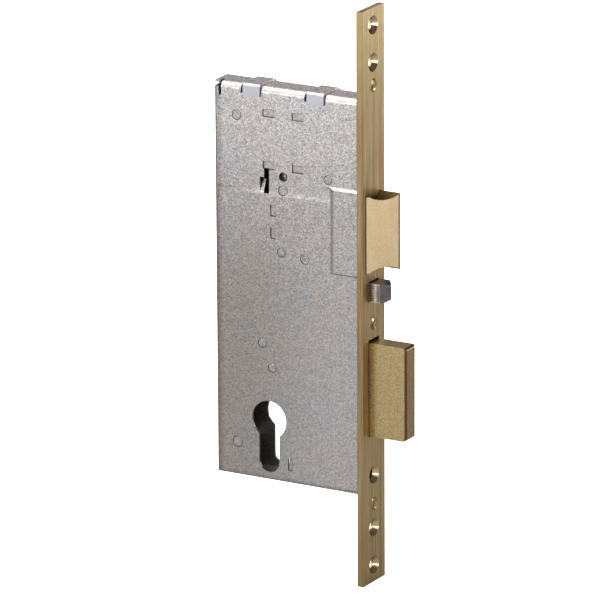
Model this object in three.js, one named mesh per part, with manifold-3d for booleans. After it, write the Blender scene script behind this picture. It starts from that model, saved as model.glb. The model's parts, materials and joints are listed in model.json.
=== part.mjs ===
// Narrow-stile mortise lock: sheet-steel case, brass faceplate, latch, trigger and deadbolt.
// Millimetres, +Z up. Origin: faceplate front face, middle of the case's thickness, cylinder axis.
// +X is the way the bolts come out; -Y is the side with the embossed case body.
import * as THREE from 'three';
import { mergeVertices } from 'three/addons/utils/BufferGeometryUtils.js';
import Module from 'manifold-3d';

const wasm = await Module();
wasm.setup();

// ---- driving dimensions -------------------------------------------------------------------
const GAP = 0.3;                 // between pieces that rest on each other
const FIT = 0.22;                // round a pin or tenon staked in a plate
const BACKSET = 50;              // faceplate front to cylinder axis
const FACEPLATE = { width: 20, thick: 3, bottom: -71, top: 196 };
const CASE = { back: -78, front: -3.3, half: 7.5, bottom: -29, top: 155, bend: 2.7 };
const SHEET = 1.0;               // case sheet thickness
const STEP = { in: 0.2, z: 106.5, ramp: 1.4 };   // the body's upper half sits a little deeper
const BODY_EDGE = -2.8;          // where the body's flanges end and the cover's begin
const CYLINDER = { r: 8.85, slot: 10.5, height: 33.8 };
const CYLINDER_SCREW = { z: -20.2, clearance: 2.8 };
const WOOD_SCREW_Z = [188.2, 171.2, -45.2, -63.0];
const SMALL_SCREW_Z = { upper: 160.8, middle: 50.6, lower: -34.1 };
const COUNTERSINK = { r: 4.3, hole: 2.3, deep: 2.1 };
const SMALL_HEAD = { r: 2.5, shank: 1.5, top: -0.7, deep: 1.9, end: -7, slot: 0.8, slotDeep: 1.15 };
const SMALL_DOME = { rise: 0.62, rings: [1, 0.82, 0.58, 0.25] };   // shares of the head's radius
const SMALL_SEAT = { r: 3.1, hole: 1.7, deep: 2.1 };
const SLOT_TURN = { upper: -0.6, middle: -0.75, lower: -0.2 };   // radians from upright
const FOREND = { thick: 1.8, lug: 5.5, upper: [113.4, 165.5], lower: [-38.8, 73.0] };

const LATCH = { z: 93.2, tall: 35.4, near: -7.1, far: 7.0, rear: -6.2, tip: 10.4, bevelFrom: 0.4 };
const LATCH_NOSE = { rise: 1.35, back: 1.1 };   // where the bevel rounds over into the far side
const LATCH_HEEL = { in: 1.2, long: 3.2 };      // tapers the head's rear to clear the pocket's ramp
const LATCH_SCOOP = { r: 10.7, deep: 2.2, y: 0.4 };
const LATCH_ROD = { r: 3, rear: -60, front: 1.7, nutR: 5.6, nut: [-58.5, -55] };
const LATCH_COLLAR = { rear: -12, half: 5, tall: 16.4 };
const POCKET = { back: -18.9, tall: 40.4, half: 8.5, rise: 1.15, rim: 1.0, ramp: 3.8 };
const TRIGGER = { z: 66.3, tall: 8.6, half: 4.6, rear: -20.5, shoulder: 5.7, tip: 8.8, nose: 1, round: 2 };
const TRIGGER_CROWN = { back: 0.35, past: 0.15 };   // the slight bulge across its tip
const TRIGGER_SLOPE = { front: -7.8, low: 67.37, high: 70.25 };
const TRIGGER_STEM = { z: 65.4, r: 1.8, rear: -44 };
const BOLT = { bottom: -1.0, top: 42.7, half: 4.5, tip: 19.0, rear: -11.5, throw: 19.0, round: 1.7 };
const BOLT_CHAMFER = 0.9;         // on the two upright edges of the bolt's end
const BOLT_SLOT = { front: -2.5, bottom: 8.4, top: 33.6 };   // takes the front of the tail
const RIVETS = { x: -7, r: 1.6, zs: [14.5, 28.0] };
const WINDOW_FIT = { latch: 0.35, trigger: 0.4, bolt: 0.45, boltTop: 1.2 };
const INSIDE = [-5.9, 6.2];      // how wide a plate between the two shells is
const TAIL_HALF = 1.5;           // half thickness of the deadbolt tail, tumbler and blocker

const POSTS = {
  upper_rear_post: { x: -65.8, z: 140.6, r: 2.2 },
  upper_middle_post: { x: -42.2, z: 108.3, r: 2.2 },
  upper_front_post: { x: -19.1, z: 116.4, r: 2.0 },
  latch_lower_post: { x: -43.1, z: 79.5, r: 2.0 },
  blocker_post: { x: -31.0, z: 78.1, r: 2.2 },
  lever_post: { x: -53.3, z: 35.7, r: 2.0 },
  tail_guide_post: { x: -48.1, z: 24.8, r: 2.0 },
  lower_rear_post: { x: -66.4, z: -12.7, r: 2.4 },
};
const TUMBLER_POST = { x: -70, z: 50, r: 2.0, from: -2.2 };
const SPRING_PIN = { x: -61, z: 62, r: 2.0, from: -3 };
const RECESSED_PIN = { x: -42.0, z: 114.7, r: 1.6, from: -4.9, tipR: 0.7, tip: -6.0, hole: 2.2 };
const SPACER = { from: -53, to: -31, xs: [-49.5, -34.5], wide: 5.6, thick: 3.2, zs: [119.1, 143.2] };
const LATCH_GUIDE = { x: -47.3, thick: 2.4, from: 82.8, to: 103.6, tenons: [98.4, 88], tall: 4.8, fit: FIT };
const SCREW_GUIDE = { x: -39.1, thick: 1.4, from: -26.5, to: -12, tenons: [-19.7], tall: 4.9, fit: 0.4 };
const TRIGGER_GUIDE = { from: -42.2, to: -40.2, bottom: 58.5, top: 73 };
const TABS = [-57.7, -25.0];     // middles of the cover's two folded tabs
const TAB = { wide: 8.6, thick: 0.9, hookZ: 150.4, farZ: 147, notch: 1.7, bend: 0.15 };
const TENON_RECESS = 0.4;         // tenon ends sit this far under the side plates' outer faces
const TAB_DIMPLE = { back: 1.9, y: -3.0, r: 1.25, deep: 0.5 };
const CORNER_SLIT = { x0: -75.1, x1: -73.8, top: 148.6, drop: 2.6 };
const T_SLOT = { x: -50.6, half: 1.3, top: 117.4, bottom: 105.9 };
const TONGUE = { left: -54.1, z: 106.9, wide: 2.0, topWide: 1.5, thick: 0.9, tall: 5.8, lean: 0.5 };
const TONGUE_HOLE_TOP = 113.4;
const PUNCH_MARKS = [[-8.3, 58.3], [-18.2, 19.1], [-16.8, 138.1], [-13.2, 135.3]];
const PUNCH_MARK = { r: 0.55, deep: 0.4 };

// Levers turn in the X-Z plane. Each arm ends at a point, with a round end of radius r.
const LEVER = { y: [3.3, 5.1], eye: 4.4, rootX: -51.7, noseX: -53.3, noseR: 1.35 };
const LEVER_TOP = { x: -51.2, z: 95.4, r: 2.1 };
const LEVER_FOOT = { x: -59.5, z: 14.0, r: 2.6 };
const SMALL_EYE = 4.2;           // boss round the post of the blocker and of the tumbler
const BLOCKER_TOE = { x: -19.5, z: 69.35, r: 1.2 };
const BLOCKER_NOSE = { x: -19.9, z: 81.6, r: 1.3 };
const TUMBLER_ARM = { x: -46.5, z: 44.2, r: 2.4 };
const TUMBLER_NOSE = { x: -46, from: 43.4, to: 41.4, r: 1.3 };

const LATCH_SPRING = { from: -45.7, to: -12.4, r: 4.2, wire: 0.55, turns: 8 };
const TRIGGER_SPRING = { from: -39.9, to: -20.8, r: 2.8, wire: 0.4, turns: 7 };
const TUMBLER_SPRING = { from: 51.9, to: 59.6, r: 2.0, wire: 0.3, turns: 5 };

// Cutters run past what they cut.
const THROUGH = 12;              // half length of a cutter across the case
const PAST = 1;

// ---- colours and finishes -----------------------------------------------------------------
const FINISH = {
  zinc: { color: 0xaaa5a3, metalness: 0.7, roughness: 0.45 },
  brass: { color: 0x96804f, metalness: 0.9, roughness: 0.35 },
  latchBrass: { color: 0xd0b98c, metalness: 0.8, roughness: 0.4 },
  boltBrass: { color: 0xa89468, metalness: 0.9, roughness: 0.35 },
  sintered: { color: 0x5c5654, metalness: 0.6, roughness: 0.5 },
  steel: { color: 0x8d8a86, metalness: 0.8, roughness: 0.4 },
  spring: { color: 0x6f6d6b, metalness: 0.9, roughness: 0.3 },
};

// ---- solids -------------------------------------------------------------------------------
function solid(geometry) {
  geometry.deleteAttribute('normal');
  geometry.deleteAttribute('uv');
  const merged = mergeVertices(geometry, 1e-4);
  return new wasm.Manifold(new wasm.Mesh({
    numProp: 3,
    vertProperties: new Float32Array(merged.attributes.position.array),
    triVerts: new Uint32Array(merged.index.array),
  }));
}

function geometryOf(body) {
  const mesh = body.getMesh();
  const geometry = new THREE.BufferGeometry();
  geometry.setAttribute('position', new THREE.BufferAttribute(mesh.vertProperties, 3));
  geometry.setIndex(new THREE.BufferAttribute(mesh.triVerts, 1));
  geometry.computeVertexNormals();
  return geometry;
}

const union = (first, ...rest) => rest.reduce((sum, next) => sum.add(next), first);
const without = (first, ...rest) => rest.reduce((left, next) => left.subtract(next), first);

function box(x0, x1, y0, y1, z0, z1) {
  const geometry = new THREE.BoxGeometry(x1 - x0, y1 - y0, z1 - z0);
  geometry.translate((x0 + x1) / 2, (y0 + y1) / 2, (z0 + z1) / 2);
  return solid(geometry);
}

function rodY(x, z, r, y0, y1, sides = 24) {
  const geometry = new THREE.CylinderGeometry(r, r, y1 - y0, sides);
  geometry.translate(x, (y0 + y1) / 2, z);
  return solid(geometry);
}

function rodX(y, z, r, x0, x1, sides = 24, rFront = r) {
  const geometry = new THREE.CylinderGeometry(r, rFront, x1 - x0, sides);
  geometry.rotateZ(Math.PI / 2);
  geometry.translate((x0 + x1) / 2, y, z);
  return solid(geometry);
}

function rodZ(x, y, r, z0, z1, sides = 16) {
  const geometry = new THREE.CylinderGeometry(r, r, z1 - z0, sides);
  geometry.rotateX(Math.PI / 2);
  geometry.translate(x, y, (z0 + z1) / 2);
  return solid(geometry);
}

// An outline in X and Z, as thick as y0 to y1.
function plateGeometry(shape, y0, y1, curveSegments = 12) {
  const geometry = new THREE.ExtrudeGeometry(shape, { depth: y1 - y0, bevelEnabled: false, curveSegments });
  geometry.rotateX(Math.PI / 2);
  geometry.translate(0, y1, 0);
  return geometry;
}

const plateY = (...plate) => solid(plateGeometry(...plate));

// An outline in Y and Z, made solid from x0 to x1.
function prismX(shape, x0, x1, curveSegments = 6) {
  const geometry = new THREE.ExtrudeGeometry(shape, { depth: x1 - x0, bevelEnabled: false, curveSegments });
  const turn = new THREE.Matrix4().makeBasis(
    new THREE.Vector3(0, 1, 0), new THREE.Vector3(0, 0, 1), new THREE.Vector3(1, 0, 0));
  geometry.applyMatrix4(turn);
  geometry.translate(x0, 0, 0);
  return solid(geometry);
}

// An outline in X and Y, made solid from z0 to z1.
function prismZ(shape, z0, z1, curveSegments = 6) {
  const geometry = new THREE.ExtrudeGeometry(shape, { depth: z1 - z0, bevelEnabled: false, curveSegments });
  geometry.translate(0, 0, z0);
  return solid(geometry);
}

function outline(points) {
  return new THREE.Shape(points.map(([a, b]) => new THREE.Vector2(a, b)));
}

function roundedRectangle(a0, a1, b0, b1, r) {
  const shape = new THREE.Shape();
  shape.absarc(a1 - r, b1 - r, r, 0, Math.PI / 2, false);
  shape.absarc(a0 + r, b1 - r, r, Math.PI / 2, Math.PI, false);
  shape.absarc(a0 + r, b0 + r, r, Math.PI, 1.5 * Math.PI, false);
  shape.absarc(a1 - r, b0 + r, r, 1.5 * Math.PI, 2 * Math.PI, false);
  shape.closePath();
  return shape;
}

// A bar with round ends of the end point's radius, between two points of the X-Z plane.
function roundedBar(start, end, y0, y1) {
  const turn = Math.atan2(end.z - start.z, end.x - start.x);
  const shape = new THREE.Shape();
  shape.absarc(end.x, end.z, end.r, turn - Math.PI / 2, turn + Math.PI / 2, false);
  shape.absarc(start.x, start.z, end.r, turn + Math.PI / 2, turn + 1.5 * Math.PI, false);
  shape.closePath();
  return plateY(shape, y0, y1, 5);
}

// ---- case ---------------------------------------------------------------------------------
function cylinderOpening() {
  const half = CYLINDER.slot / 2;
  const dip = Math.asin(half / CYLINDER.r);
  const roundEnd = CYLINDER.r - CYLINDER.height + half;
  const shape = new THREE.Shape();
  shape.absarc(-BACKSET, 0, CYLINDER.r, -Math.PI / 2 + dip, 1.5 * Math.PI - dip, false);
  shape.absarc(-BACKSET, roundEnd, half, Math.PI, 2 * Math.PI, false);
  shape.closePath();
  return plateY(shape, -THROUGH, THROUGH, 14);
}

// The case's section across its thickness; the near face steps in above STEP.z.
function caseSection(inset) {
  const r = CASE.bend - inset;
  const low = CASE.bottom + inset;
  const high = CASE.top - inset;
  const far = CASE.half - inset;
  const near = -CASE.half + inset;
  const shape = new THREE.Shape();
  shape.absarc(far - r, high - r, r, 0, Math.PI / 2, false);
  shape.absarc(near + STEP.in + r, high - r, r, Math.PI / 2, Math.PI, false);
  shape.lineTo(near + STEP.in, STEP.z + STEP.ramp);
  shape.lineTo(near, STEP.z - STEP.ramp);
  shape.absarc(near + r, low + r, r, Math.PI, 1.5 * Math.PI, false);
  shape.absarc(far - r, low + r, r, 1.5 * Math.PI, 2 * Math.PI, false);
  shape.closePath();
  return shape;
}

// A block as wide as the latch pocket pressed out of both side plates: a long smooth ramp at its
// rear, steep rims above and below.
function pocketBlock(inset) {
  const { back, tall, half, rise, rim, ramp } = POCKET;
  const front = 8;
  const high = half - inset;
  const low = high - rise;
  const rear = back + inset;
  const top = tall / 2 - inset;
  const plan = new THREE.Shape();
  plan.moveTo(rear, -low);
  plan.bezierCurveTo(rear + ramp / 2, -low, rear + ramp / 2, -high, rear + ramp, -high);
  plan.lineTo(front, -high);
  plan.lineTo(front, high);
  plan.lineTo(rear + ramp, high);
  plan.bezierCurveTo(rear + ramp / 2, high, rear + ramp / 2, low, rear, low);
  plan.closePath();
  const bottomEdge = [[-high, rim - top], [-low, -top], [low, -top], [high, rim - top]];
  const topEdge = bottomEdge.map(([y, z]) => [-y, -z]);
  const section = outline([...bottomEdge, ...topEdge].map(([y, z]) => [y, LATCH.z + z]));
  const along = prismX(section, rear - PAST, front + PAST);
  return along.intersect(prismZ(plan, LATCH.z - tall, LATCH.z + tall));
}

function caseBlock(inset, front) {
  const r = CASE.bend - inset;
  const half = CASE.half - inset;
  const rear = CASE.back + inset + r;
  const plan = new THREE.Shape();
  plan.moveTo(front, -half);
  plan.lineTo(front, half);
  plan.absarc(rear, half - r, r, Math.PI / 2, Math.PI, false);
  plan.absarc(rear, -half + r, r, Math.PI, 1.5 * Math.PI, false);
  plan.closePath();
  const across = prismX(caseSection(inset), CASE.back - PAST, front + PAST);
  return across.intersect(prismZ(plan, CASE.bottom - PAST, CASE.top + PAST)).add(pocketBlock(inset));
}

// Everything in front of one X, or on one side of the case's thickness, as a block to cut with.
function region(x0, x1, y0, y1) {
  return box(x0, x1, y0, y1, CASE.bottom - THROUGH, CASE.top + THROUGH);
}

// Both shells before they are parted: a thin-walled box, open at the front.
function caseWalls() {
  const ahead = region(CASE.front, THROUGH, -THROUGH, THROUGH);
  return caseBlock(0, 0).subtract(caseBlock(SHEET, 5)).subtract(ahead);
}

function tenonEnd(x, z, wide, tall, grow, y0, y1) {
  return box(x - wide / 2 - grow, x + wide / 2 + grow, y0, y1, z - tall / 2 - grow, z + tall / 2 + grow);
}

// Holes that both side plates have, and the notches that let the forend lugs pass.
function sharedCuts() {
  const tenonHole = (x, z, wide, tall, fit) => tenonEnd(x, z, wide, tall, fit, -THROUGH, THROUGH);
  const cuts = Object.values(POSTS).map((p) => rodY(p.x, p.z, p.r + FIT, -THROUGH, THROUGH));
  for (const z of SPACER.zs) {
    for (const x of SPACER.xs) cuts.push(tenonHole(x, z, SPACER.wide, SPACER.thick, FIT));
  }
  for (const guide of [LATCH_GUIDE, SCREW_GUIDE]) {
    for (const z of guide.tenons) cuts.push(tenonHole(guide.x, z, guide.thick, guide.tall, guide.fit));
  }
  cuts.push(cylinderOpening());
  const lug = FOREND.lug + GAP;
  const behind = -FACEPLATE.thick - GAP - FOREND.thick - 0.4;
  for (const z of [CASE.top, CASE.bottom]) {
    cuts.push(box(behind, 0, -lug, lug, z - CASE.bend, z + CASE.bend));
  }
  return cuts;
}

// The slit at the body's upper rear corner, where its top and rear flanges part.
function cornerRelief() {
  const { x0, x1, top, drop } = CORNER_SLIT;
  return [
    box(CASE.back - PAST, x1, -THROUGH, 0, CASE.top - drop, CASE.top + PAST),
    box(x0, x1, -THROUGH, 0, top, CASE.top + PAST),
  ];
}

function tabNotch(x) {
  const half = TAB.wide / 2;
  return box(x - half - TAB.notch, x + half + FIT, -THROUGH, 0, TAB.hookZ + 0.6, CASE.top + PAST);
}

// The T slot and, beside it, the hole that the spring tongue is lanced from.
function tongueCuts() {
  const { x, half, bottom, top } = T_SLOT;
  return [
    box(x - half, x + half, -THROUGH, 0, bottom, top),
    box(TONGUE.left, x, -THROUGH, 0, TONGUE.z, TONGUE_HOLE_TOP),
  ];
}

// A strip lanced from the body beside the T slot and pushed inwards at its top, to hook a spring on.
function springTongue() {
  const { left, z, wide, topWide, thick, tall, lean } = TONGUE;
  const root = 0.5;
  const taper = (wide - topWide) / 2;
  const shape = outline([[0, -root], [wide, -root], [wide - taper, tall], [taper, tall]]);
  const geometry = plateGeometry(shape, 0, thick);
  geometry.rotateX(-lean);
  geometry.translate(left, -CASE.half + STEP.in + 0.05, z);
  return solid(geometry);
}

// The outer face of the body at a height, as the pins staked in it end flush.
const nearFace = (z) => (z > STEP.z ? -CASE.half + STEP.in : -CASE.half);

const tenonY = (z) => nearFace(z) + TENON_RECESS;

function punchMark([x, z]) {
  return rodY(x, z, PUNCH_MARK.r, -THROUGH, nearFace(z) + PUNCH_MARK.deep, 10);
}

function caseBody() {
  const nearSide = region(CASE.back - PAST, 5, -THROUGH, BODY_EDGE);
  const pinHole = rodY(RECESSED_PIN.x, RECESSED_PIN.z, RECESSED_PIN.hole, -THROUGH, 0);
  const cuts = [
    ...sharedCuts(), ...cornerRelief(), ...TABS.map(tabNotch), ...tongueCuts(), pinHole,
    ...PUNCH_MARKS.map(punchMark),
  ];
  return without(caseWalls().intersect(nearSide), ...cuts).add(springTongue());
}

function caseCover() {
  const farSide = region(CASE.back - PAST, 5, BODY_EDGE + GAP, THROUGH);
  const shell = without(caseWalls().intersect(farSide), ...sharedCuts());
  return union(shell, topCorner(), ...TABS.map(coverTab));
}

// The cover's top wall runs on over the body's corner slit at the rear.
function topCorner() {
  const corner = box(CASE.back - PAST, CORNER_SLIT.x0 - GAP, -5.3, 0, CASE.top - SHEET, CASE.top);
  return caseBlock(0, 0).intersect(corner);
}

// A tab folded from the far plate over the top and down the body's face, with a punched dimple.
function coverTab(x) {
  const t = TAB.thick;
  const low = 120;
  const outer = strapOutline(t, low, TAB.bend + t, CASE.bend + t);
  const inner = strapOutline(-0.05, low - PAST, TAB.bend, CASE.bend);
  const x0 = x - TAB.wide / 2;
  const x1 = x + TAB.wide / 2;
  const strap = prismX(outer, x0, x1).subtract(prismX(inner, x0 - PAST, x1 + PAST));
  const below = box(x0 - PAST, x1 + PAST, -THROUGH, 0, low - PAST, TAB.hookZ);
  const belowFar = box(x0 - PAST, x1 + PAST, -1, THROUGH, low - PAST, TAB.farZ);
  const { back, y, r, deep } = TAB_DIMPLE;
  const dimple = rodZ(x - back, y, r, CASE.top + t - deep, CASE.top + t + PAST);
  return without(strap, below, belowFar, dimple);
}

// Half of a strap's outline: up the near side, over the top and down the far side, grown outwards.
function strapOutline(grow, low, nearR, farR) {
  const side = CASE.half + grow;
  const top = CASE.top + grow;
  const shape = new THREE.Shape();
  shape.moveTo(-side, low);
  shape.lineTo(side, low);
  shape.absarc(side - farR, top - farR, farR, 0, Math.PI / 2, false);
  shape.absarc(-side + nearR, top - nearR, nearR, Math.PI / 2, Math.PI, false);
  shape.closePath();
  return shape;
}

function post({ x, z, r }) {
  return rodY(x, z, r, nearFace(z), CASE.half);
}

function spacerPlate(z) {
  const half = SPACER.thick / 2;
  const bar = box(SPACER.from, SPACER.to, ...INSIDE, z - half, z + half);
  const ends = SPACER.xs.map((x) => tenonEnd(x, z, SPACER.wide, SPACER.thick, 0, tenonY(z), -tenonY(0)));
  return union(bar, ...ends);
}

// Upright plate between the shells, staked in both by its tenons, with a hole for a rod or screw.
function guidePlate({ x, thick, from, to, tenons, tall }, holeZ, holeR) {
  const x0 = x - thick / 2;
  const x1 = x + thick / 2;
  const ends = tenons.map((z) => tenonEnd(x, z, thick, tall, 0, tenonY(z), -tenonY(0)));
  const plate = union(box(x0, x1, ...INSIDE, from, to), ...ends);
  return plate.subtract(rodX(0, holeZ, holeR, x0 - PAST, x1 + PAST));
}

// ---- faceplate and what holds it ----------------------------------------------------------
function latchSection(grow) {
  const half = LATCH.tall / 2 + grow;
  const y0 = LATCH.near - grow;
  const y1 = LATCH.far + grow;
  const { r, deep, y } = LATCH_SCOOP;
  const reach = half + r - deep;
  const swing = Math.acos((r - deep) / r);
  const shape = new THREE.Shape();
  shape.moveTo(y1, LATCH.z - half);
  shape.lineTo(y1, LATCH.z + half);
  shape.absarc(y, LATCH.z + reach, r, -Math.PI / 2 + swing, -Math.PI / 2 - swing, true);
  shape.lineTo(y0, LATCH.z + half);
  shape.lineTo(y0, LATCH.z - half);
  shape.absarc(y, LATCH.z - reach, r, Math.PI / 2 + swing, Math.PI / 2 - swing, true);
  shape.closePath();
  return shape;
}

function triggerWindow() {
  const half = TRIGGER.half + WINDOW_FIT.trigger;
  const tall = TRIGGER.tall / 2 + WINDOW_FIT.trigger;
  return box(-THROUGH, PAST, -half, half, TRIGGER.z - tall, TRIGGER.z + tall);
}

function boltWindow() {
  const half = BOLT.half + WINDOW_FIT.bolt;
  const bottom = BOLT.bottom - WINDOW_FIT.bolt;
  return box(-THROUGH, PAST, -half, half, bottom, BOLT.top + WINDOW_FIT.boltTop);
}

function countersunkHole(z, { r, hole, deep }) {
  const lip = 0.02;
  return rodX(0, z, hole, -THROUGH, PAST).add(rodX(0, z, hole, -deep, lip, 24, r + lip));
}

function faceplate() {
  const { width, thick, bottom, top } = FACEPLATE;
  const strip = box(-thick, 0, -width / 2, width / 2, bottom, top);
  const holes = [
    ...[...WOOD_SCREW_Z, CYLINDER_SCREW.z].map((z) => countersunkHole(z, COUNTERSINK)),
    ...Object.values(SMALL_SCREW_Z).map((z) => countersunkHole(z, SMALL_SEAT)),
  ];
  const latchWindow = prismX(latchSection(WINDOW_FIT.latch), -THROUGH, PAST, 8);
  return without(strip, ...holes, latchWindow, triggerWindow(), boltWindow());
}

// The low dome on a small screw's head, as a stack of shallow cones.
function screwDome(z) {
  const { r, top } = SMALL_HEAD;
  const { rise, rings } = SMALL_DOME;
  const ball = (r * r + rise * rise) / (2 * rise);
  const height = (share) => top + rise - ball + Math.sqrt(ball ** 2 - (share * r) ** 2);
  const cone = (share, i) => rodX(0, z, rings[i] * r, height(rings[i]), height(share), 24, share * r);
  return union(...rings.slice(1).map(cone));
}

// Slotted oval-head screw that holds the faceplate to a forend bracket.
function faceplateScrew(z, turn) {
  const { r, shank, top, deep, end, slot, slotDeep } = SMALL_HEAD;
  const head = rodX(0, z, shank, -deep, top, 24, r).add(screwDome(z));
  const thread = rodX(0, z, shank, end, -deep + 0.1, 16);
  const cut = new THREE.BoxGeometry(2 * slotDeep, slot, 2 * r + PAST);
  cut.rotateX(turn);
  cut.translate(0, 0, z);
  return head.add(thread).subtract(solid(cut));
}

// Flat steel piece between the side plates, behind the faceplate, that the faceplate is screwed to.
function forendBracket([z0, z1]) {
  const x1 = -FACEPLATE.thick - GAP;
  const x0 = x1 - FOREND.thick;
  const clear = CASE.bend + 0.2;
  const inCase = box(x0, x1, ...INSIDE, Math.max(z0, CASE.bottom + clear), Math.min(z1, CASE.top - clear));
  const lug = box(x0, x1, -FOREND.lug, FOREND.lug, z0, z1);
  const screwR = SMALL_HEAD.shank + FIT;
  const holes = Object.values(SMALL_SCREW_Z).map((z) => rodX(0, z, screwR, -THROUGH, 0, 16));
  holes.push(rodX(0, CYLINDER_SCREW.z, CYLINDER_SCREW.clearance, -THROUGH, 0));
  return without(inCase.add(lug), ...holes, triggerWindow(), boltWindow());
}

// ---- latch --------------------------------------------------------------------------------
function latchHead() {
  const { z, tall, near, far, rear, tip, bevelFrom } = LATCH;
  const { rise, back } = LATCH_NOSE;
  const plan = new THREE.Shape();
  plan.moveTo(rear, near + LATCH_HEEL.in);
  plan.lineTo(rear + LATCH_HEEL.long, near);
  plan.lineTo(bevelFrom, near);
  plan.lineTo(tip - back, far - rise);
  plan.quadraticCurveTo(tip, far - 0.1, tip - back, far);
  plan.lineTo(rear + LATCH_HEEL.long, far);
  plan.lineTo(rear, far - LATCH_HEEL.in);
  plan.closePath();
  const block = prismZ(plan, z - tall / 2, z + tall / 2, 4);
  const bore = rodX(0, z, LATCH_ROD.r + GAP, rear - PAST, LATCH_ROD.front + GAP, 20);
  return block.intersect(prismX(latchSection(0), rear - PAST, tip + PAST, 8)).subtract(bore);
}

// Steel rod screwed into the latch head, with a collar for the spring and a nut at its rear end.
function latchTail() {
  const rod = rodX(0, LATCH.z, LATCH_ROD.r, LATCH_ROD.rear, LATCH_ROD.front, 20);
  const { rear, half, tall } = LATCH_COLLAR;
  const collar = box(rear, LATCH.rear - GAP, -half, half, LATCH.z - tall / 2, LATCH.z + tall / 2);
  const nut = rodX(0, LATCH.z, LATCH_ROD.nutR, ...LATCH_ROD.nut, 6);
  return union(rod, collar, nut);
}

// Long lever that the cylinder's cam swings to draw the latch back by its rear nut.
function retractorLever() {
  const { x, z, r } = POSTS.lever_post;
  const upper = roundedBar({ x: LEVER.rootX, z }, LEVER_TOP, ...LEVER.y);
  const lower = roundedBar({ x, z }, LEVER_FOOT, ...LEVER.y);
  const eye = rodY(x, z, LEVER.eye, ...LEVER.y);
  const nose = rodY(LEVER.noseX, LATCH.z, LEVER.noseR, ...LEVER.y, 16);
  return union(upper, lower, eye, nose).subtract(rodY(x, z, r + FIT, -THROUGH, THROUGH));
}

// ---- trigger ------------------------------------------------------------------------------
// Its rear half has a sloping top, which lifts the blocker lever as the trigger is pushed in.
function triggerBolt() {
  const { z, tall, half, tip, shoulder, nose, rear, round } = TRIGGER;
  const { front, low, high } = TRIGGER_SLOPE;
  const bottom = z - tall / 2;
  const top = z + tall / 2;
  const flank = tip - TRIGGER_CROWN.back;
  const plan = new THREE.Shape();
  plan.moveTo(rear, -half);
  plan.lineTo(shoulder, -half);
  plan.lineTo(flank, -nose);
  plan.quadraticCurveTo(tip + TRIGGER_CROWN.past, 0, flank, nose);
  plan.lineTo(shoulder, half);
  plan.lineTo(rear, half);
  plan.closePath();
  const side = outline([
    [rear, bottom], [tip + PAST, bottom], [tip + PAST, top], [front, top], [front, high], [rear, low]]);
  const nosed = roundedRectangle(rear - 2 * round, tip, bottom, top, round);
  const block = prismZ(plan, bottom, top, 4)
    .intersect(plateY(side, -THROUGH, THROUGH))
    .intersect(plateY(nosed, -THROUGH, THROUGH, 5));
  return block.add(rodX(0, TRIGGER_STEM.z, TRIGGER_STEM.r, TRIGGER_STEM.rear, rear + 0.5, 16));
}

function triggerGuide() {
  const { from, to, bottom, top } = TRIGGER_GUIDE;
  const bore = rodX(0, TRIGGER_STEM.z, TRIGGER_STEM.r + GAP, from - PAST, to + PAST, 16);
  return box(from, to, ...INSIDE, bottom, top).subtract(bore);
}

// Two arms and a boss, cut to turn on a post.
function smallLever(pivot, ...arms) {
  const eye = rodY(pivot.x, pivot.z, SMALL_EYE, -TAIL_HALF, TAIL_HALF);
  return union(eye, ...arms).subtract(rodY(pivot.x, pivot.z, pivot.r + FIT, -THROUGH, THROUGH));
}

// Small lever whose toe rests on the trigger's slope and whose nose rises under the latch collar.
function blockerLever() {
  const pivot = POSTS.blocker_post;
  const arms = [BLOCKER_TOE, BLOCKER_NOSE].map((end) => roundedBar(pivot, end, -TAIL_HALF, TAIL_HALF));
  return smallLever(pivot, ...arms);
}

// ---- deadbolt -----------------------------------------------------------------------------
function rivetHoles() {
  const { x, r, zs } = RIVETS;
  return zs.map((z) => rodY(x, z, r + FIT, -THROUGH, THROUGH, 16));
}

function deadboltHead() {
  const { bottom, top, half, tip, rear, round } = BOLT;
  const edge = roundedRectangle(rear, tip, bottom, top, round);
  const flatRear = box(rear, 0, -half, half, bottom, top);
  const plan = outline([
    [rear, -half], [tip - BOLT_CHAMFER, -half], [tip, -half + BOLT_CHAMFER],
    [tip, half - BOLT_CHAMFER], [tip - BOLT_CHAMFER, half], [rear, half]]);
  const bar = plateY(edge, -half, half, 5).add(flatRear);
  const block = bar.intersect(prismZ(plan, bottom - PAST, top + PAST));
  const wide = TAIL_HALF + GAP;
  const slot = box(rear - PAST, BOLT_SLOT.front, -wide, wide, BOLT_SLOT.bottom, BOLT_SLOT.top);
  return without(block, slot, ...rivetHoles());
}

// Slot in the tail for a fixed post, as long as the throw.
function postSlot({ x, z, r }) {
  return roundedBar({ x, z }, { x: x + BOLT.throw, z, r: r + GAP }, -THROUGH, THROUGH);
}

// Plate behind the bolt: its front fits the bolt's slot, its top edge slopes under the tumbler,
// and the notch in its bottom edge is where the cylinder's cam reaches in.
function deadboltTail() {
  const front = { x: BOLT_SLOT.front - 0.5, low: BOLT_SLOT.bottom + 0.6, high: BOLT_SLOT.top - 0.6 };
  const neckX = BOLT.rear - 1;
  const crest = { x: -26.5, z: 42.2 };
  const dip = { x: -48.4, z: 39.5 };
  const rearX = -57.6;
  const lowZ = 10.4;
  const cam = { rear: -47.5, front: -33.5, top: 17 };
  const lipX = -25;
  const plate = plateY(outline([
    [front.x, front.low], [front.x, front.high], [neckX, front.high], [neckX, crest.z],
    [crest.x, crest.z], [dip.x, dip.z], [rearX, dip.z], [rearX, lowZ],
    [cam.rear, lowZ], [cam.rear, cam.top], [cam.front, cam.top], [cam.front, lowZ],
    [lipX, lowZ], [lipX, front.low],
  ]), -TAIL_HALF, TAIL_HALF);
  return without(plate, postSlot(POSTS.lever_post), postSlot(POSTS.tail_guide_post), ...rivetHoles());
}

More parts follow.
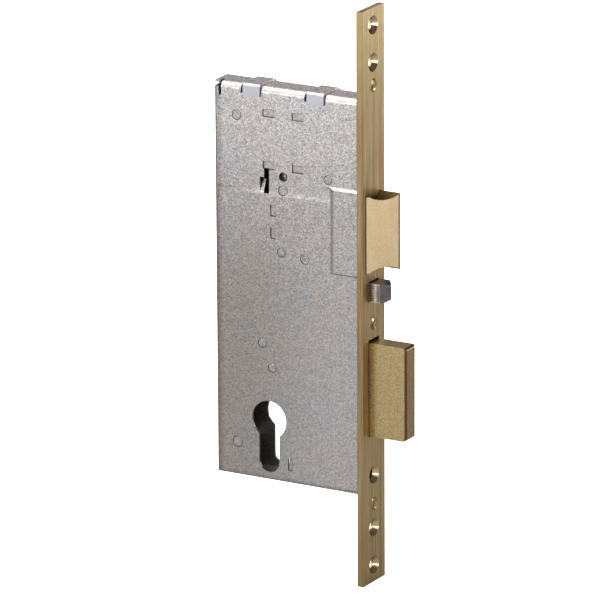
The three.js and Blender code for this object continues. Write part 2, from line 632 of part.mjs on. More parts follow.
// Sprung lever over the tail; its nose rides up the tail's sloping top edge as the bolt is drawn.
function boltTumbler() {
  const { x, from, to, r } = TUMBLER_NOSE;
  const arm = roundedBar(TUMBLER_POST, TUMBLER_ARM, -TAIL_HALF, TAIL_HALF);
  const nose = roundedBar({ x, z: from }, { x, z: to, r }, -TAIL_HALF, TAIL_HALF);
  return smallLever(TUMBLER_POST, arm, nose);
}

// ---- springs ------------------------------------------------------------------------------
class Helix extends THREE.Curve {
  constructor(axis, from, to, radius, turns) {
    super();
    Object.assign(this, { axis, from, to, radius, turns });
  }
  getPoint(t, target = new THREE.Vector3()) {
    const turn = t * this.turns * 2 * Math.PI;
    const along = this.from + (this.to - this.from) * t;
    const a = this.radius * Math.cos(turn);
    const b = this.radius * Math.sin(turn);
    return this.axis === 'x' ? target.set(along, a, b) : target.set(a, b, along);
  }
}

// Coil spring along an axis through the origin, made of wire with six flat sides.
function coil(axis, { from, to, r, wire, turns }) {
  const ring = [0, 1, 2, 3, 4, 5].map((i) => {
    const angle = (i / 6) * 2 * Math.PI;
    return [wire * Math.cos(angle), wire * Math.sin(angle)];
  });
  const path = new Helix(axis, from + wire * 1.2, to - wire * 1.2, r, turns);
  const options = { steps: turns * 12, extrudePath: path, bevelEnabled: false };
  return new THREE.ExtrudeGeometry(outline(ring), options);
}

// ---- assembly -----------------------------------------------------------------------------
const lock = new THREE.Group();

function add(name, part, finish, x = 0, z = 0) {
  const geometry = part instanceof THREE.BufferGeometry ? part : geometryOf(part);
  const mesh = new THREE.Mesh(geometry, new THREE.MeshStandardMaterial(FINISH[finish]));
  mesh.name = name;
  mesh.position.set(x, 0, z);
  lock.add(mesh);
}

function addFaceplate() {
  add('faceplate', faceplate(), 'brass');
  for (const [place, z] of Object.entries(SMALL_SCREW_Z)) {
    add(`faceplate_screw_${place}`, faceplateScrew(z, SLOT_TURN[place]), 'brass');
  }
  add('upper_forend_bracket', forendBracket(FOREND.upper), 'steel');
  add('lower_forend_bracket', forendBracket(FOREND.lower), 'steel');
}

function addCase() {
  add('case_body', caseBody(), 'zinc');
  add('case_cover', caseCover(), 'zinc');
  for (const [name, place] of Object.entries(POSTS)) add(name, post(place), 'steel');
  const insidePin = ({ x, z, r, from }) => rodY(x, z, r, from, INSIDE[1]);
  add('tumbler_post', insidePin(TUMBLER_POST), 'steel');
  add('tumbler_spring_pin', insidePin(SPRING_PIN), 'steel');
  const { x, z, tipR, tip, from } = RECESSED_PIN;
  add('recessed_pin', insidePin(RECESSED_PIN).add(rodY(x, z, tipR, tip, from, 16)), 'steel');
  add('spacer_plate_lower', spacerPlate(SPACER.zs[0]), 'steel');
  add('spacer_plate_upper', spacerPlate(SPACER.zs[1]), 'steel');
  add('latch_guide', guidePlate(LATCH_GUIDE, LATCH.z, LATCH_ROD.r + GAP), 'steel');
  add('cylinder_screw_guide', guidePlate(SCREW_GUIDE, CYLINDER_SCREW.z, 2.7), 'steel');
}

function addLatch() {
  add('latch_head', latchHead(), 'latchBrass');
  add('latch_tail', latchTail(), 'steel');
  add('latch_spring', coil('x', LATCH_SPRING), 'spring', 0, LATCH.z);
  add('retractor_lever', retractorLever(), 'steel');
}

function addTrigger() {
  add('trigger_bolt', triggerBolt(), 'sintered');
  add('trigger_spring', coil('x', TRIGGER_SPRING), 'spring', 0, TRIGGER_STEM.z);
  add('trigger_guide', triggerGuide(), 'steel');
  add('blocker_lever', blockerLever(), 'steel');
}

function addDeadbolt() {
  add('deadbolt_head', deadboltHead(), 'boltBrass');
  add('deadbolt_tail', deadboltTail(), 'steel');
  RIVETS.zs.forEach((z, i) => {
    add(`deadbolt_rivet_${i + 1}`, rodY(RIVETS.x, z, RIVETS.r, -BOLT.half, BOLT.half, 16), 'steel');
  });
  add('bolt_tumbler', boltTumbler(), 'steel');
  add('tumbler_spring', coil('z', TUMBLER_SPRING), 'spring', SPRING_PIN.x, 0);
}

addFaceplate();
addCase();
addLatch();
addTrigger();
addDeadbolt();

export default lock;
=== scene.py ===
"""Looks of a narrow-stile mortise lock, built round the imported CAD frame. Metres, +Z up."""

import json
import math

import bpy
from mathutils import Matrix, Vector


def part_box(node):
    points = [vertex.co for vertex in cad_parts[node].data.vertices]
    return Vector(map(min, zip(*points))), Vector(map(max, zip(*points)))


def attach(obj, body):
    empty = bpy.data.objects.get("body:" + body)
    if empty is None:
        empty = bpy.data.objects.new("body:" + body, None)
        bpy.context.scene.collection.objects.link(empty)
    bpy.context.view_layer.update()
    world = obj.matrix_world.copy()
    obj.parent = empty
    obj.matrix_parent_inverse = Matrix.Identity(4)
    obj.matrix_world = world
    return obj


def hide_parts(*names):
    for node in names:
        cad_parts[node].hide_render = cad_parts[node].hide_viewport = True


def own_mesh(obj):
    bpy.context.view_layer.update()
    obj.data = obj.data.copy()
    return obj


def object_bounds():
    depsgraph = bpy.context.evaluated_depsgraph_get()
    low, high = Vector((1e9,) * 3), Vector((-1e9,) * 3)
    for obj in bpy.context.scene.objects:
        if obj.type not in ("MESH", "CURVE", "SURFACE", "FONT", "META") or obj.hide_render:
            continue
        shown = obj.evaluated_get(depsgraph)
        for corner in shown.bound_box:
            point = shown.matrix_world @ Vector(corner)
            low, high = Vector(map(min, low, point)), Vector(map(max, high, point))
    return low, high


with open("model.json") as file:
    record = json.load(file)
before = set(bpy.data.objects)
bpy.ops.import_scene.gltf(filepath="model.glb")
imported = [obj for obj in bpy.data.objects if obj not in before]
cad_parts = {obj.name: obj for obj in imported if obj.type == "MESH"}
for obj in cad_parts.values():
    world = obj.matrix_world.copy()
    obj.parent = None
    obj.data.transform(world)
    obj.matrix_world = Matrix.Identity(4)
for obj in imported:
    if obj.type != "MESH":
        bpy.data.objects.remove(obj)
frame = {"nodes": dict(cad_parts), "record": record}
cad_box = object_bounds()
NODES = frame["nodes"]
SCENE = bpy.context.scene
MM = 0.001

# ---- camera: a long lens from the front right, looking down a little -----------------------
CAMERA_AT = Vector((1.4046, -2.5182, 0.9204))
CAMERA_AIM = Vector((-0.0379, 0.0, 0.0562))
CAMERA_ROLL = math.radians(-0.301)
LENS = 404.4             # millimetres
SENSOR = 36              # millimetres
CLIP = (0.1, 50)


def make_camera():
    data = bpy.data.cameras.new("camera")
    data.lens = LENS
    data.sensor_width = SENSOR
    data.clip_start, data.clip_end = CLIP
    camera = bpy.data.objects.new("camera", data)
    SCENE.collection.objects.link(camera)
    turn = (CAMERA_AIM - CAMERA_AT).to_track_quat("-Z", "Y").to_matrix()
    turn = turn @ Matrix.Rotation(CAMERA_ROLL, 3, "Z")
    camera.matrix_world = Matrix.Translation(CAMERA_AT) @ turn.to_4x4()
    SCENE.camera = camera


# ---- node materials ------------------------------------------------------------------------
class Finish:
    """One finish: a principled shader and short calls that add the nodes feeding it.
    Textures are laid out in the object's own millimetres."""

    def __init__(self, name, metallic=1.0, specular=0.5, anisotropic=0.0):
        self.material = bpy.data.materials.new(name)
        self.material.use_nodes = True
        self.tree = self.material.node_tree
        self.shader = self.tree.nodes["Principled BSDF"]
        self.shader.inputs["Metallic"].default_value = metallic
        self.shader.inputs["Specular IOR Level"].default_value = specular
        self.shader.inputs["Anisotropic"].default_value = anisotropic
        coordinates = self.add("ShaderNodeTexCoord")
        self.place = coordinates.outputs["Object"]
        self.normal = coordinates.outputs["Normal"]

    def add(self, kind, **settings):
        node = self.tree.nodes.new(kind)
        for key, value in settings.items():
            setattr(node, key, value)
        return node

    def feed(self, value, socket):
        """Sets a socket to a number or a colour, or links another node's output to it."""
        if isinstance(value, tuple):
            socket.default_value = (*value, 1.0)
        elif isinstance(value, (int, float)):
            socket.default_value = value
        else:
            self.tree.links.new(value, socket)

    # -- patterns
    def stretched(self, x, y, z):
        """The object's millimetres, multiplied along each axis."""
        node = self.add("ShaderNodeMapping")
        node.inputs["Scale"].default_value = (x / MM, y / MM, z / MM)
        self.feed(self.place, node.inputs["Vector"])
        return node.outputs["Vector"]

    def noise(self, x, y, z, detail=3.0, rough=0.55):
        """Noise with so many features to a millimetre along each axis."""
        node = self.add("ShaderNodeTexNoise")
        node.inputs["Scale"].default_value = 1.0
        node.inputs["Detail"].default_value = detail
        node.inputs["Roughness"].default_value = rough
        self.feed(self.stretched(x, y, z), node.inputs["Vector"])
        return node.outputs["Fac"]

    def crystals(self, size):
        """One grey per crystal of about that size in millimetres."""
        node = self.add("ShaderNodeTexVoronoi", feature="F1")
        node.inputs["Scale"].default_value = 1.0
        self.feed(self.stretched(1 / size, 1 / size, 1 / size), node.inputs["Vector"])
        split = self.add("ShaderNodeSeparateColor")
        self.feed(node.outputs["Color"], split.inputs["Color"])
        return split.outputs["Red"]

    # -- where on the object
    def axis_of(self, vector, axis):
        node = self.add("ShaderNodeSeparateXYZ")
        self.feed(vector, node.inputs["Vector"])
        return node.outputs[axis]

    def along(self, axis):
        """How far along one of the object's axes, in millimetres."""
        return self.axis_of(self.stretched(1, 1, 1), axis)

    def facing(self, axis):
        """How far the surface faces along one of the object's axes, from -1 to 1."""
        return self.axis_of(self.normal, axis)

    def facing_either_way(self, axis):
        return self.math("ABSOLUTE", self.facing(axis))

    # -- numbers
    def math(self, operation, *values):
        node = self.add("ShaderNodeMath", operation=operation)
        for value, socket in zip(values, node.inputs):
            self.feed(value, socket)
        return node.outputs[0]

    def plus(self, a, b):
        return self.math("ADD", a, b)

    def times(self, a, b):
        return self.math("MULTIPLY", a, b)

    def larger(self, a, b):
        return self.math("MAXIMUM", a, b)

    def blend(self, a, share, b):
        """The first pattern in that share, the other one in the rest."""
        return self.plus(self.times(a, share), self.times(b, 1 - share))

    def span(self, value, low, high, to_low=0.0, to_high=1.0, smooth=False):
        """Maps low..high to to_low..to_high, held at both ends."""
        node = self.add("ShaderNodeMapRange")
        node.interpolation_type = "SMOOTHSTEP" if smooth else "LINEAR"
        ends = {"From Min": low, "From Max": high, "To Min": to_low, "To Max": to_high}
        for key, number in ends.items():
            node.inputs[key].default_value = number
        self.feed(value, node.inputs["Value"])
        return node.outputs["Result"]

    # -- colours
    def ramp(self, value, *stops):
        node = self.add("ShaderNodeValToRGB")
        elements = node.color_ramp.elements
        while len(elements) < len(stops):
            elements.new(0.5)
        for element, (at, colour) in zip(elements, stops):
            element.position = at
            element.color = (*colour, 1.0)
        self.feed(value, node.inputs["Fac"])
        return node.outputs["Color"]

    def mix(self, share, a, b, how="MIX"):
        node = self.add("ShaderNodeMix", data_type="RGBA", blend_type=how)
        for value, socket in zip((share, a, b), (node.inputs[0], node.inputs[6], node.inputs[7])):
            self.feed(value, socket)
        return node.outputs[2]

    def tinted(self, colour, by):
        return self.mix(1.0, colour, by, "MULTIPLY")

    def shaded(self, mask, colour, by):
        """The colour, tinted where the mask is 1."""
        return self.mix(mask, colour, self.tinted(colour, by))

    # -- into the shader
    def colour(self, value):
        self.feed(value, self.shader.inputs["Base Color"])

    def roughness(self, value):
        self.feed(value, self.shader.inputs["Roughness"])

    def bump(self, height, depth, strength=1.0):
        """Relief of that depth in millimetres."""
        node = self.add("ShaderNodeBump")
        node.inputs["Strength"].default_value = strength
        node.inputs["Distance"].default_value = depth * MM
        self.feed(height, node.inputs["Height"])
        self.feed(node.outputs["Normal"], self.shader.inputs["Normal"])


# Places on the lock that the finishes refer to, in millimetres of the shared frame.
CASE_REAR = -78          # X of the case's rear wall
TAB_LOW = 150            # the cover's tabs lie on the body's face above this height,
TAB_FACE = -7.7          # and further out than this Y
EDGE_SHADE_BELOW = 115   # painted shade darkens cut edges that face forwards below this height; the cut edges of the tabs, above it, stay bright
SMALL_SCREWS_AT = (160.8, 50.6, -34.1)
SMALL_SCREW_SEAT = 3     # radius
LATCH_NOSE = 9.4         # X where the latch's bevel has rounded over into its far side; painted shade darkens beyond it


def galvanised_sheet():
    """Hot-dip zinc: fine crystals, strongest on the case's upper half. Painted shade makes it darker
    towards the lower rear and along the rear bend, and dark on most cut edges that face forwards,
    with a painted height gradient of light and shade. The cover's two tabs are smoother and bluer
    where they lie on the body's face."""
    m = Finish("galvanised_sheet")
    height = m.along("Z")
    upward = m.span(m.facing("Z"), 0.75, 0.95)
    on_face = m.span(m.along("Y"), TAB_FACE + 0.1, TAB_FACE - 0.1)
    tab = m.times(m.span(height, TAB_LOW - 0.2, TAB_LOW + 0.2), on_face)

    cell = m.blend(m.crystals(0.62), 0.45, m.crystals(0.34))
    grain = m.noise(4.2, 4.2, 4.2, detail=3)
    speck = m.blend(cell, 0.55, grain)
    strength = m.span(height, 20, 120, 0.85, 1.15, smooth=True)
    strength = m.times(strength, m.span(tab, 0, 1, 1.0, 0.2))
    strength = m.times(strength, m.span(upward, 0, 1, 1.0, 1.7))
    centred = m.plus(m.times(m.math("SUBTRACT", speck, 0.5), strength), 0.5)
    grey = m.ramp(centred, (0.2, (0.22, 0.21, 0.21)), (0.5, (0.49, 0.475, 0.47)),
                  (0.8, (0.86, 0.84, 0.83)))
    patch = m.noise(0.035, 0.035, 0.035, detail=4)
    tint = m.ramp(patch, (0.35, (0.93, 0.95, 1.0)), (0.5, (1, 0.985, 0.98)),
                  (0.66, (1.0, 0.955, 0.96)))

    sheet = m.tinted(m.tinted(grey, tint), sheet_painted_shade(m, height, upward, grain))
    m.colour(m.mix(tab, sheet, m.mix(0.8, sheet, (0.50, 0.51, 0.57))))
    m.roughness(m.span(cell, 0.2, 0.8, 0.50, 0.34))
    m.bump(centred, 0.014)
    return m.material


def sheet_painted_shade(m, height, upward, grain):
    """Painted shade, multiplied into the zinc's grey from place to place: darker towards the lower
    rear, a height gradient of painted light and shade, a darker rear bend, dark forward-facing cut
    edges, and top faces nearly left out. Heights and X in millimetres.
    """
    rearward = m.span(m.along("X"), -10, -65, smooth=True)
    low_rear = m.times(rearward, m.span(height, 135, 45, smooth=True))
    # painted shade: darker towards the lower rear
    painted_shade_tint = m.ramp(low_rear, (0.0, (1, 1, 1)), (1.0, (0.75, 0.73, 0.705)))
    # painted light and shade by height: lighter low down, darker from the middle up, lighter again
    # near the top
    lift = m.plus(m.span(height, -20, 65, 1.07, 0.94), m.span(height, 100, 135, 0, 0.07, smooth=True))
    painted_shade_tint = m.tinted(painted_shade_tint, lift)
    # painted shade along the rear bend
    rear_edge = m.span(m.plus(m.along("X"), m.times(grain, 1.6)), CASE_REAR + 5.6, CASE_REAR + 3.6)
    rear_bend_shade = m.times(rear_edge, m.span(m.facing_either_way("X"), 0.95, 0.85))
    painted_shade_tint = m.shaded(rear_bend_shade, painted_shade_tint, (0.77, 0.75, 0.75))
    # top faces are left almost free of the painted shade
    painted_shade_tint = m.mix(upward, painted_shade_tint, (1.0, 0.95, 0.93))
    # painted shade: cut edges that face forwards are darkened below a set height
    forward = m.span(m.facing("X"), 0.3, 0.6)
    cut_edge = m.times(forward, m.span(height, EDGE_SHADE_BELOW + 5, EDGE_SHADE_BELOW))
    return m.mix(cut_edge, painted_shade_tint, (0.3, 0.29, 0.28))


def faceplate_brass():
    """Satin brass brushed along the plate, with broad darker strokes. The countersinks are cut brass,
    lighter than the plate, with a painted highlight at mid-height, painted shade in their lower
    halves and browner painted shade in their upper halves; the seats of the small screws are left
    out."""
    m = Finish("faceplate_brass", anisotropic=0.4)
    strokes = m.noise(3.2, 3.2, 0.05, detail=4, rough=0.65)
    broad = m.noise(0.9, 0.9, 0.012, detail=3, rough=0.6)
    brass = m.ramp(m.blend(strokes, 0.45, broad), (0.32, (0.26, 0.18, 0.085)),
                   (0.5, (0.46, 0.34, 0.175)), (0.68, (0.64, 0.50, 0.29)))
    patch = m.noise(0.05, 0.05, 0.02, detail=3)
    tint = m.ramp(patch, (0.38, (1.0, 0.90, 0.84)), (0.5, (1, 1, 1)), (0.62, (1.0, 0.98, 0.90)))

    slant = m.facing_either_way("X")
    cut = m.times(m.span(slant, 0.3, 0.45), m.span(slant, 0.93, 0.85))
    for seat in SMALL_SCREWS_AT:
        away = m.math("ABSOLUTE", m.math("SUBTRACT", m.along("Z"), seat))
        cut = m.times(cut, m.span(away, SMALL_SCREW_SEAT - 0.1, SMALL_SCREW_SEAT + 0.1))
    upward = m.facing("Z")
    # countersinks: painted highlight at mid-height, painted shade where the cone faces up
    cut_brass_and_painted_light = m.mix(m.span(upward, 0.12, 0.3), (0.72, 0.58, 0.35), (0.26, 0.2, 0.12))
    # browner painted shade where the cone faces down
    cut_brass_and_painted_light = m.mix(m.span(upward, -0.2, -0.5), cut_brass_and_painted_light, (0.5, 0.37, 0.24))

    m.colour(m.mix(cut, m.tinted(brass, tint), cut_brass_and_painted_light))
    m.roughness(m.times(m.span(strokes, 0.3, 0.7, 0.25, 0.42), m.span(cut, 0, 1, 1.0, 0.55)))
    m.bump(m.noise(20, 20, 0.35, detail=2), 0.008, 0.6)
    return m.material


def latch_brass():
    """Blasted, pale brass with a fine even grain; painted shade darkens its milled scoops, its tip
    and the rounded edge of its nose.
    """
    m = Finish("latch_brass")
    grain = m.noise(2.6, 2.6, 2.6, detail=4, rough=0.65)
    patch = m.noise(0.12, 0.12, 0.06, detail=3)
    face = m.ramp(m.blend(grain, 0.8, patch), (0.32, (0.45, 0.33, 0.17)),
                  (0.5, (0.605, 0.465, 0.275)), (0.68, (0.745, 0.60, 0.395)))
    milled = m.span(m.facing_either_way("Z"), 0.3, 0.6)
    tip = m.span(m.facing("Y"), -0.56, -0.3)
    nose = m.span(m.along("X"), LATCH_NOSE, LATCH_NOSE + 0.15)
    # painted shade on the scoops, the tip and the nose edge
    m.colour(m.shaded(m.larger(m.larger(milled, tip), nose), face, (0.16, 0.14, 0.09)))
    m.roughness(m.span(grain, 0.3, 0.7, 0.34, 0.46))
    m.bump(grain, 0.012, 0.8)
    return m.material


def bolt_brass():
    """Extruded brass bar, with faint draw lines and small nicks. Its sawn end and its top are
    darkened with painted shade, and the narrow slanting edges of its end and the corner above it
    darker still, also painted shade."""
    m = Finish("bolt_brass")
    grain = m.noise(2.4, 2.4, 1.9, detail=5, rough=0.65)
    lines = m.noise(0.3, 6, 6, detail=3)
    bar = m.ramp(m.blend(grain, 0.75, lines), (0.34, (0.28, 0.20, 0.085)),
                 (0.5, (0.59, 0.45, 0.23)), (0.66, (0.90, 0.73, 0.43)))
    end = m.span(m.facing("X"), 0.35, 0.65)
    top = m.span(m.facing_either_way("Z"), 0.5, 0.8)
    # painted shade on the end and the top
    painted_shade_bar = m.shaded(m.larger(m.times(end, 0.85), m.times(top, 0.7)), bar, (0.53, 0.43, 0.36))
    # more painted shade on the slanting edges of the end and on the corner above it
    slanting = m.math("SUBTRACT", end, m.span(m.facing("X"), 0.8, 0.95))
    corner = m.times(m.span(m.facing("Z"), 0.04, 0.12), m.span(m.facing("X"), 0.2, 0.4))
    m.colour(m.shaded(m.larger(slanting, corner), painted_shade_bar, (0.36, 0.32, 0.25)))
    m.roughness(m.span(lines, 0.3, 0.7, 0.24, 0.38))
    m.bump(grain, 0.012, 0.7)
    return m.material


def sintered_steel():
    """Pressed-and-sintered steel with fine pores: dark, with painted shade on its top and bottom, and
    lighter on the two sides that slide, from rubbing and a painted highlight.
    """
    m = Finish("sintered_steel")
    pores = m.noise(4.0, 4.0, 4.0, detail=5, rough=0.7)
    tone = m.blend(pores, 0.7, m.noise(0.3, 0.3, 0.3, detail=2))
    dark = m.ramp(tone, (0.34, (0.07, 0.06, 0.062)), (0.5, (0.13, 0.115, 0.117)),
                  (0.68, (0.25, 0.23, 0.23)))
    rubbed_and_painted_highlight = m.ramp(tone, (0.34, (0.44, 0.40, 0.36)), (0.5, (0.70, 0.64, 0.57)),
                    (0.68, (0.93, 0.87, 0.79)))
    # sides: rubbing wear plus a painted highlight; top and bottom faces: painted shade
    side = m.span(m.facing_either_way("Y"), 0.78, 0.92)
    level = m.span(m.facing_either_way("Z"), 0.3, 0.8)
    m.colour(m.mix(side, m.shaded(level, dark, (0.5, 0.45, 0.44)), rubbed_and_painted_highlight))
    m.roughness(m.span(pores, 0.3, 0.7, 0.28, 0.42))
    m.bump(pores, 0.02, 0.8)
    return m.material


def zinc_steel():
    """Zinc-plated steel with rolling marks and a fine speckle, a little darker than the sheet."""
    m = Finish("zinc_steel")
    streak = m.noise(0.5, 5, 5, detail=4)
    speck = m.blend(m.crystals(0.5), 0.4, m.noise(4.2, 4.2, 4.2, detail=3))
    tone = m.blend(streak, 0.35, speck)
    m.colour(m.ramp(tone, (0.34, (0.22, 0.21, 0.21)), (0.5, (0.39, 0.38, 0.375)),
                    (0.66, (0.62, 0.605, 0.60))))
    m.roughness(m.span(streak, 0.3, 0.7, 0.36, 0.5))
    m.bump(tone, 0.012, 0.8)
    return m.material


def spring_steel():
    """Dark drawn spring wire."""
    m = Finish("spring_steel")
    drawn = m.noise(2.5, 2.5, 2.5, detail=3)
    m.colour(m.ramp(drawn, (0.35, (0.16, 0.155, 0.15)), (0.65, (0.30, 0.29, 0.28))))
    m.roughness(m.span(drawn, 0.3, 0.7, 0.26, 0.4))
    m.bump(drawn, 0.006, 0.5)
    return m.material


def floor_paper():
    """Pale paper, evenly white to what looks straight at it. The metal mirrors a duller floor."""
    m = Finish("floor_paper", metallic=0.0, specular=0.0)
    fibre = m.noise(0.05, 0.05, 0.05, detail=6)
    seen = m.ramp(fibre, (0.3, (0.86, 0.86, 0.855)), (0.7, (0.89, 0.89, 0.885)))
    direct = m.add("ShaderNodeLightPath").outputs["Is Camera Ray"]
    m.colour(m.mix(direct, (0.26, 0.257, 0.25), seen))
    m.feed(seen, m.shader.inputs["Emission Color"])
    m.feed(m.span(direct, 0, 1, 0.0, 0.9), m.shader.inputs["Emission Strength"])
    m.roughness(m.span(fibre, 0.3, 0.7, 0.75, 0.9))
    return m.material


SLOT_FINISH = {
    "faceplate_brass": faceplate_brass(),
    "screw_brass": faceplate_brass(),
    "latch_brass": latch_brass(),
    "bolt_brass": bolt_brass(),
    "sintered_steel": sintered_steel(),
    "galvanised_sheet": galvanised_sheet(),
    "zinc_steel": zinc_steel(),
    "spring_steel": spring_steel(),
}


# ---- carried-over CAD nodes -----------------------------------------------------------------
EDGE_ROUND = {           # millimetres of rounding along a node's sharp edges
    "faceplate": 0.25, "latch_head": 0.42, "deadbolt_head": 0.3, "trigger_bolt": 0.3,
}
EDGE_ROUND_OTHERS = 0.15
EDGE_STEPS = 3
SHEET_NODES = ("case_body", "case_cover")       # sheared edges, left crisp
CRISP = math.radians(32)
FLAT = math.radians(0.6)                        # facets closer than this are one face
WELD = 0.001 * MM


def round_edges(node, width):
    """Merges the flat facets and rounds the edges between them."""
    flats = node.modifiers.new("flats", "DECIMATE")
    flats.decimate_type = "DISSOLVE"
    flats.angle_limit = FLAT
    bevel = node.modifiers.new("edges", "BEVEL")
    bevel.width = width * MM
    bevel.segments = EDGE_STEPS
    bevel.limit_method = "ANGLE"
    bevel.angle_limit = CRISP
    bevel.use_clamp_overlap = True
    bevel.miter_outer = "MITER_ARC"


def even_shading(node):
    """Large faces stay flat, bends and round ends shade smoothly."""
    node.data.shade_smooth()
    normals = node.modifiers.new("normals", "WEIGHTED_NORMAL")
    normals.mode = "FACE_AREA"
    normals.keep_sharp = True


def slot_of(node):
    for part in frame["record"]["subparts"]:
        if part["node"] == node:
            return part["material_slot"]
    raise KeyError(node)


def finish_nodes():
    for name, node in NODES.items():
        node.data.materials.clear()
        node.data.materials.append(SLOT_FINISH[slot_of(name)])
        node.modifiers.new("weld", "WELD").merge_threshold = WELD
        if name in SHEET_NODES:
            node.modifiers.new("crisp", "EDGE_SPLIT").split_angle = CRISP
        else:
            round_edges(node, EDGE_ROUND.get(name, EDGE_ROUND_OTHERS))
        even_shading(node)


# ---- pieces finer than the CAD --------------------------------------------------------------
def make_piece(name, points, faces, body, slot):
    """A smooth-shaded mesh piece that rides on a body and takes a slot's finish."""
    mesh = bpy.data.meshes.new(name)
    mesh.from_pydata(points, [], faces)
    mesh.materials.append(SLOT_FINISH[slot])
    mesh.shade_smooth()
    piece = bpy.data.objects.new(name, mesh)
    SCENE.collection.objects.link(piece)
    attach(piece, body)
    return piece


RING_SIDES = 12          # round the wire
STEPS_A_TURN = 28
CLOSED_TURNS = 1.25      # turns wound tight at each end of a spring
TIGHT_PITCH = 2.04       # of those turns, in wire radii
# In millimetres: the wire's radius, and how far the moving end comes. "held" is the end that
# stays put, 0 for the low one and 1 for the high one.
SPRINGS = {
    "latch_spring": dict(axis=0, turns=9.5, wire=0.55, joint="latch_slide", held=0, squeeze=10.2),
    "trigger_spring": dict(axis=0, turns=9.5, wire=0.4, joint="trigger_slide", held=0, squeeze=8.8),
    "tumbler_spring": dict(axis=2, turns=7.5, wire=0.3, joint="tumbler_lift", held=1, squeeze=0.92),
}


def spring_rise(turn, turns, length, wire):
    """How far along its axis a spring's wire is, after so many turns: tight, open, tight."""
    tight = TIGHT_PITCH * wire
    open_from, open_to = CLOSED_TURNS, turns - CLOSED_TURNS
    pitch = (length - tight * 2 * CLOSED_TURNS) / (open_to - open_from)
    closed = min(turn, open_from) + max(turn - open_to, 0)
    opened = min(max(turn, open_from), open_to) - open_from
    return tight * closed + pitch * opened


def tube(centres, outwards, along, wire):
    """Points and faces of a round wire whose rings stand across the winding."""
    points, faces = [], []
    for centre, outward in zip(centres, outwards):
        for side in range(RING_SIDES):
            a = 2 * math.pi * side / RING_SIDES
            points.append(centre + (outward * math.cos(a) + along * math.sin(a)) * wire)
    last = len(points) - RING_SIDES
    for ring in range(0, last, RING_SIDES):
        for side in range(RING_SIDES):
            a, b = ring + side, ring + (side + 1) % RING_SIDES
            faces.append((a, b, b + RING_SIDES, a + RING_SIDES))
    faces.append(tuple(range(RING_SIDES))[::-1])
    faces.append(tuple(range(last, len(points))))
    return points, faces


def coil_spring(node, axis, turns, wire, joint, held, squeeze):
    """Round-wire compression spring in a CAD spring's place."""
    wire *= MM
    squeeze *= MM
    low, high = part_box(node)
    middle = (low + high) / 2
    across = [i for i in range(3) if i != axis]
    radius = (high[across[0]] - low[across[0]]) / 2 - wire
    length = high[axis] - low[axis]
    along = Vector([float(i == axis) for i in range(3)])
    steps = int(turns * STEPS_A_TURN)
    centres, outwards = [], []
    for step in range(steps + 1):
        turn = turns * step / steps
        outward = Vector((0, 0, 0))
        outward[across[0]] = math.cos(2 * math.pi * turn)
        outward[across[1]] = math.sin(2 * math.pi * turn)
        centre = middle + outward * radius
        centre[axis] = low[axis] + wire + spring_rise(turn, turns, length - 2 * wire, wire)
        outwards.append(outward)
        centres.append(centre)
    piece = make_piece(node + "_wire", *tube(centres, outwards, along, wire), "case", "spring_steel")
    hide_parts(node)
    anchor = middle.copy()
    anchor[axis] = (low, high)[held][axis]
    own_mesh(piece)


RIBS = 10
RIB_ARC = 6              # steps round a rib
RIB = {                  # millimetres
    "from": 0.4, "behind_tip": 3.15, "pitch": 0.8, "half": 0.33, "proud": 0.2, "sunk": 0.02,
}


def rib(points, faces, side, half, z, x0, x1):
    """Adds one low half-round rib, lying along X on the trigger's side that faces -Y or +Y."""
    first, row = len(points), RIB_ARC + 1
    for x in (x0, x1):
        for j in range(row):
            a = math.pi * j / RIB_ARC
            y = side * (half + (RIB["proud"] * math.sin(a) - RIB["sunk"]) * MM)
            points.append((x, y, z - RIB["half"] * MM * math.cos(a)))
    rear = list(range(first, first + row))
    front = list(range(first + row, first + 2 * row))
    new = [(rear[j], rear[j + 1], front[j + 1], front[j]) for j in range(RIB_ARC)]
    new += [(rear[0], front[0], front[-1], rear[-1]), tuple(rear[::-1]), tuple(front)]
    faces.extend(new if side < 0 else [face[::-1] for face in new])


def make_trigger_ribs():
    """Fine ribs along both sides of the trigger, ending behind its slanting nose."""
    low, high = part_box("trigger_bolt")
    half = (high.y - low.y) / 2
    middle = (low.z + high.z) / 2
    points, faces = [], []
    for side in (-1, 1):
        for i in range(RIBS):
            z = middle + (i - (RIBS - 1) / 2) * RIB["pitch"] * MM
            rib(points, faces, side, half, z, RIB["from"] * MM, high.x - RIB["behind_tip"] * MM)
    make_piece("trigger_ribs", points, faces, "trigger", "sintered_steel")


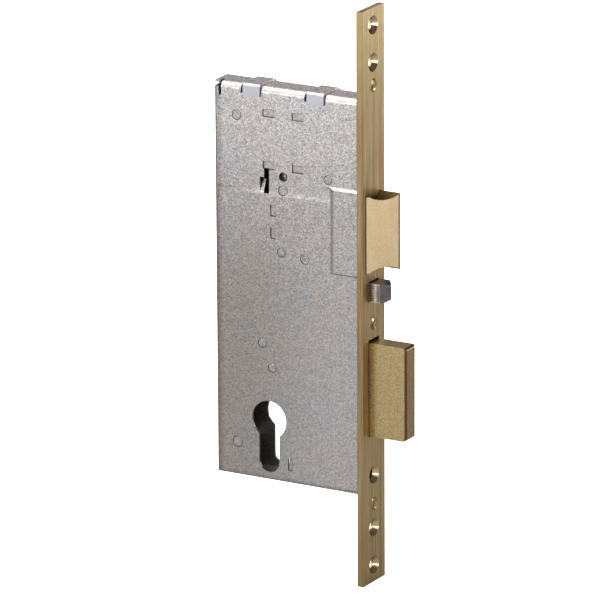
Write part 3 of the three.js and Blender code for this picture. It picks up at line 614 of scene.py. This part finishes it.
# ---- floor, world and lights ------------------------------------------------------------------
FLOOR_HALF = 4.0
WORLD_COLOUR = (0.97, 0.98, 1.0, 1.0)
WORLD_LIGHT = 0.3        # its strength on the lock
WORLD_SEEN = 1.05        # its strength to the camera: a plain white ground
LIGHTS = {               # where from the lock's middle, width and height, watts
    "overhead": ((-0.15, -0.25, 1.5), (2.1, 2.0), 62),
    "front_panel": ((-0.28, -0.72, 0.18), (0.45, 0.35), 2.45),
    "right_panel": ((1.0, -0.12, 0.1), (0.24, 0.5), 1.6),
    "side_panel": ((0.84, -0.46, 0.08), (0.2, 0.4), 1.2),
    "back_panel": ((0.47, 0.84, 0.06), (0.5, 0.22), 2.6),
}


def make_floor():
    low = cad_box[0].z
    mesh = bpy.data.meshes.new("floor")
    corners = [(x * FLOOR_HALF, y * FLOOR_HALF, low) for x, y in ((-1, -1), (1, -1), (1, 1), (-1, 1))]
    mesh.from_pydata(corners, [], [(0, 1, 2, 3)])
    floor = bpy.data.objects.new("floor", mesh)
    mesh.materials.append(floor_paper())
    SCENE.collection.objects.link(floor)


def make_world():
    world = bpy.data.worlds.new("studio")
    world.use_nodes = True
    SCENE.world = world
    nodes, links = world.node_tree.nodes, world.node_tree.links
    background = nodes["Background"]
    background.inputs["Color"].default_value = WORLD_COLOUR
    strength = nodes.new("ShaderNodeMapRange")
    strength.inputs["To Min"].default_value = WORLD_LIGHT
    strength.inputs["To Max"].default_value = WORLD_SEEN
    links.new(nodes.new("ShaderNodeLightPath").outputs["Is Camera Ray"], strength.inputs["Value"])
    links.new(strength.outputs["Result"], background.inputs["Strength"])


def softbox(name, at, aim, size, power):
    data = bpy.data.lights.new(name, "AREA")
    data.shape = "RECTANGLE"
    data.size, data.size_y = size
    data.energy = power
    light = bpy.data.objects.new(name, data)
    light.location = at
    light.visible_camera = False
    light.rotation_mode = "QUATERNION"
    light.rotation_quaternion = (aim - at).to_track_quat("-Z", "Y")
    SCENE.collection.objects.link(light)


def make_lights():
    """A wide overhead box, a panel at the front left, two narrow ones at the right, one behind."""
    middle = (cad_box[0] + cad_box[1]) / 2
    for name, (offset, size, power) in LIGHTS.items():
        softbox(name, middle + Vector(offset), middle, size, power)


make_camera()
finish_nodes()
for spring, winding in SPRINGS.items():
    coil_spring(spring, **winding)
make_trigger_ribs()
make_floor()
make_world()
make_lights()
SCENE.view_settings.view_transform = "Standard"
